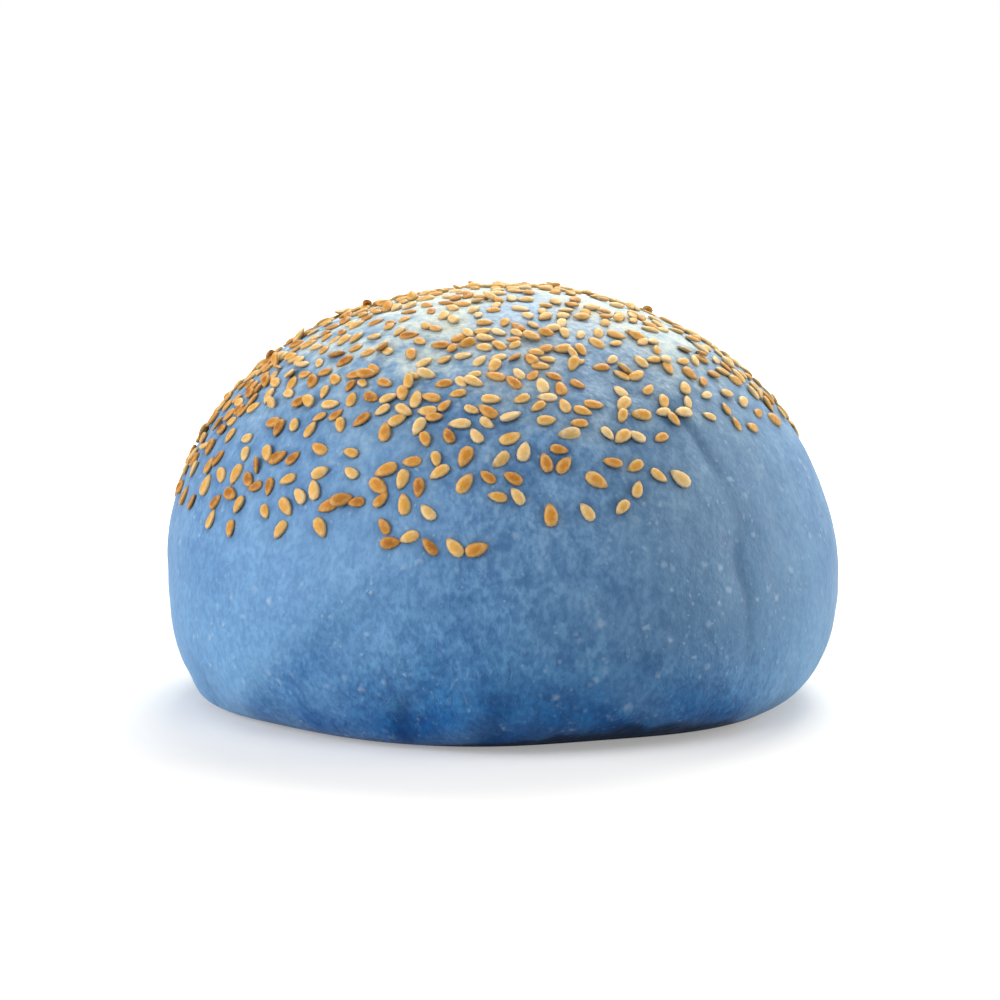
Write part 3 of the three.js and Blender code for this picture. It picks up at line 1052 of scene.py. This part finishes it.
def crust_finish(grain, blisters):
    """Soft blue crust with a whitish painted highlight on the crown, deeper blue and painted shade low
    down, painted shade in creases, round the seeds and over the foot, and pale blisters.
    """
    material, graph, shader = new_material("blue crust")
    place = graph.place()
    height = graph.add("ShaderNodeSeparateXYZ", {"Vector": place}).outputs["Z"]
    tones = crust_tones(graph, grain, place)
    deep_tone_and_shade = graph.attribute("deep_tone_and_shade", "Fac")
    dulness = graph.attribute("dulness", "Fac")
    crease_and_painted_shade = graph.attribute("crease_and_painted_shade", "Fac")
    lower = graph.math("MULTIPLY", graph.between(height, 14, 30, 1.0, 0.0), deep_tone_and_shade)
    pulled = graph.math("MULTIPLY", graph.between(tones["pulled"], 0.8, 1.0), lower)
    pale = pale_spots(graph, blisters, place, deep_tone_and_shade)
    # Deeper blue and painted shade towards the foot
    colour = graph.mix(deep_tone_and_shade, body_colour(graph, tones), deep_and_shaded_colour(graph, height))
    colour = graph.mix(dulness, colour, paint(102, 135, 164))
    colour = mottled(graph, colour, tones, deep_tone_and_shade, dulness)
    colour = graph.mix(graph.math("MULTIPLY", pulled, 0.2), colour, paint(140, 178, 214))
    colour = graph.mix(pale, colour, paint(172, 198, 226))
    # Painted shade in creases, round the seeds and in the undercut over the foot
    colour = graph.mix(crease_and_painted_shade, colour, paint(0, 52, 94))
    graph.feed(shader.inputs["Base Color"], colour)
    satin = graph.between(tones["mottle"], 0, 1, 0.5, 0.64)
    graph.feed(shader.inputs["Roughness"], graph.math("ADD", satin, graph.math("MULTIPLY", crease_and_painted_shade, 0.35)))
    shader.inputs["Specular IOR Level"].default_value = 0.3
    shader.inputs["Sheen Weight"].default_value = 0.12
    shader.inputs["Sheen Roughness"].default_value = 0.4
    patterns = {"fine": tones["fine"], "mottle": tones["mottle"], "pulled": pulled, "pale": pale}
    relief = 0.0
    for name, pattern in patterns.items():
        relief = graph.math("ADD", relief, graph.math("MULTIPLY", pattern, FINE_RELIEF[name]))
    bump = graph.add("ShaderNodeBump", {"Height": relief, "Distance": 0.16 * MM, "Strength": 0.8})
    graph.feed(shader.inputs["Normal"], bump.outputs["Normal"])
    return material


def seed_finish(grain):
    """Toasted sesame: a pale rim round an amber middle, some seeds browner and darker at the tip, with
    painted shade on their undersides.
    """
    material, graph, shader = new_material("toasted sesame")
    place = graph.place()
    toast = graph.attribute("toast", "Fac")
    seat = graph.add("ShaderNodeSeparateXYZ", {"Vector": graph.attribute("seat", "Vector")}).outputs
    around = graph.math("POWER", seat["X"], 2.0)
    along = graph.math("POWER", graph.math("SUBTRACT", seat["Y"], 0.1), 2.0)
    off = graph.math("SQRT", graph.math("ADD", around, along))
    grit = use_group(graph, grain, "Tone", Place=place, Size=SEED_GRIT, Stretch=1.0)
    off = graph.math("ADD", off, graph.math("MULTIPLY", graph.math("SUBTRACT", grit, 0.5), 0.35))
    rim = graph.ramp(
        toast,
        [(0.0, paint(243, 218, 172)), (0.5, paint(235, 196, 130)), (1.0, paint(216, 158, 82))],
    )
    middle = graph.ramp(
        toast,
        [
            (0.0, paint(234, 194, 124)),
            (0.45, paint(224, 165, 70)),
            (0.8, paint(208, 137, 38)),
            (1.0, paint(172, 104, 22)),
        ],
    )
    colour = graph.mix(graph.between(off, 0.25, 0.95, 0.0, 1.0), middle, rim)
    tip = graph.math("MULTIPLY", graph.between(seat["Y"], -0.95, -0.55, 1.0, 0.0), 0.4)
    colour = graph.mix(tip, colour, paint(150, 86, 30))
    # Painted shade on the seeds' undersides, where they sit on the crust
    under = graph.between(seat["Z"], 0.0, 0.6, 0.32, 0.0)
    colour = graph.mix(under, colour, paint(116, 70, 26))
    graph.feed(shader.inputs["Base Color"], colour)
    graph.feed(shader.inputs["Roughness"], graph.between(grit, 0, 1, 0.46, 0.6))
    shader.inputs["Specular IOR Level"].default_value = 0.32
    bump = graph.add("ShaderNodeBump", {"Height": grit, "Distance": 0.06 * MM, "Strength": 0.7})
    graph.feed(shader.inputs["Normal"], bump.outputs["Normal"])
    return material


# Floor, light and camera

def pale_stage_finish():
    """Pale to the camera, with a painted glow that is weakest next to the roll, but dim to the light that
    falls from it onto the roll.
    """
    material, graph, shader = new_material("pale floor")
    tree = material.node_tree
    tree.nodes.remove(shader)
    where = graph.add("ShaderNodeTexCoord").outputs["Object"]
    away = graph.add("ShaderNodeVectorMath", {"Vector": where}, operation="LENGTH").outputs["Value"]
    seen = graph.add("ShaderNodeBsdfDiffuse", {"Color": (0.7, 0.7, 0.71, 1)})
    brightness = graph.between(away, FLOOR_GLOW["from"], FLOOR_GLOW["to"], FLOOR_GLOW["least"], 1.0)
    glow = graph.add("ShaderNodeEmission", {"Strength": brightness})
    both = graph.add("ShaderNodeAddShader")
    tree.links.new(seen.outputs[0], both.inputs[0])
    tree.links.new(glow.outputs[0], both.inputs[1])
    dim = graph.add("ShaderNodeBsdfDiffuse", {"Color": (0.55, 0.57, 0.6, 1)})
    choice = graph.add("ShaderNodeMixShader")
    tree.links.new(graph.add("ShaderNodeLightPath").outputs["Is Camera Ray"], choice.inputs[0])
    tree.links.new(dim.outputs[0], choice.inputs[1])
    tree.links.new(both.outputs[0], choice.inputs[2])
    tree.links.new(choice.outputs[0], tree.nodes["Material Output"].inputs["Surface"])
    return material


def make_stage():
    """A wide pale floor."""
    mesh = bpy.data.meshes.new("floor")
    corners = [(FLOOR_REACH * x, FLOOR_REACH * y, 0) for x, y in ((-1, -1), (1, -1), (1, 1), (-1, 1))]
    mesh.from_pydata(corners, [], [(0, 1, 2, 3)])
    mesh.materials.append(pale_stage_finish())
    add_piece("floor", mesh)


def make_world():
    world = bpy.data.worlds.new("soft room")
    world.use_nodes = True
    graph = Graph(world.node_tree)
    background = world.node_tree.nodes["Background"]
    seen = graph.add("ShaderNodeLightPath").outputs["Is Camera Ray"]
    graph.feed(background.inputs["Color"], (1.0, 1.0, 1.0, 1))
    graph.feed(background.inputs["Strength"], graph.between(seen, 0, 1, ROOM_LIGHT, 1.0))
    bpy.context.scene.world = world


def add_light(name, azimuth, elevation, distance, size, power, colour):
    """A square soft light that points at the roll."""
    data = bpy.data.lights.new(name, "AREA")
    data.size = size
    data.energy = power
    data.color = colour
    light = bpy.data.objects.new(name, data)
    a = math.radians(azimuth)
    e = math.radians(elevation)
    away = Vector((math.sin(a) * math.cos(e), -math.cos(a) * math.cos(e), math.sin(e)))
    light.location = away * distance + Vector((0, 0, AIM_HEIGHT * MM))
    light.rotation_mode = "QUATERNION"
    light.rotation_quaternion = away.to_track_quat("Z", "Y")
    bpy.context.scene.collection.objects.link(light)


def make_lights():
    for name, values in LIGHTS.items():
        add_light(name, *values)


def make_camera():
    data = bpy.data.cameras.new("camera")
    data.sensor_width = SENSOR
    data.lens = SENSOR * PIXELS_PER_MM * CAMERA_DISTANCE / FRAME_PIXELS
    data.shift_x = (FRAME_PIXELS / 2 - AIM_PIXEL[0]) / FRAME_PIXELS
    data.shift_y = (AIM_PIXEL[1] - FRAME_PIXELS / 2) / FRAME_PIXELS
    data.clip_start = 0.01
    data.clip_end = 50
    camera = bpy.data.objects.new("camera", data)
    tilt = math.radians(CAMERA_TILT)
    back = CAMERA_DISTANCE * math.cos(tilt)
    up = AIM_HEIGHT + CAMERA_DISTANCE * math.sin(tilt)
    camera.location = (0, -back * MM, up * MM)
    camera.rotation_euler = (math.pi / 2 - tilt, 0, 0)
    bpy.context.scene.collection.objects.link(camera)
    bpy.context.scene.camera = camera


def dress_roll():
    seeds = strew_seeds()
    settle_seeds(seeds)
    grain = grain_group()
    blisters = blister_group()
    crust = make_crust(seeds)
    crust.data.materials.append(crust_finish(grain, blisters))
    sesame = make_seeds(seeds, seed_finish(grain))
    for piece, slot in ((crust, "crust"), (sesame, "sesame")):
        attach(piece, "root")
        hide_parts("roll")


bpy.context.scene.view_settings.view_transform = "Standard"
make_camera()
make_stage()
make_world()
make_lights()
dress_roll()
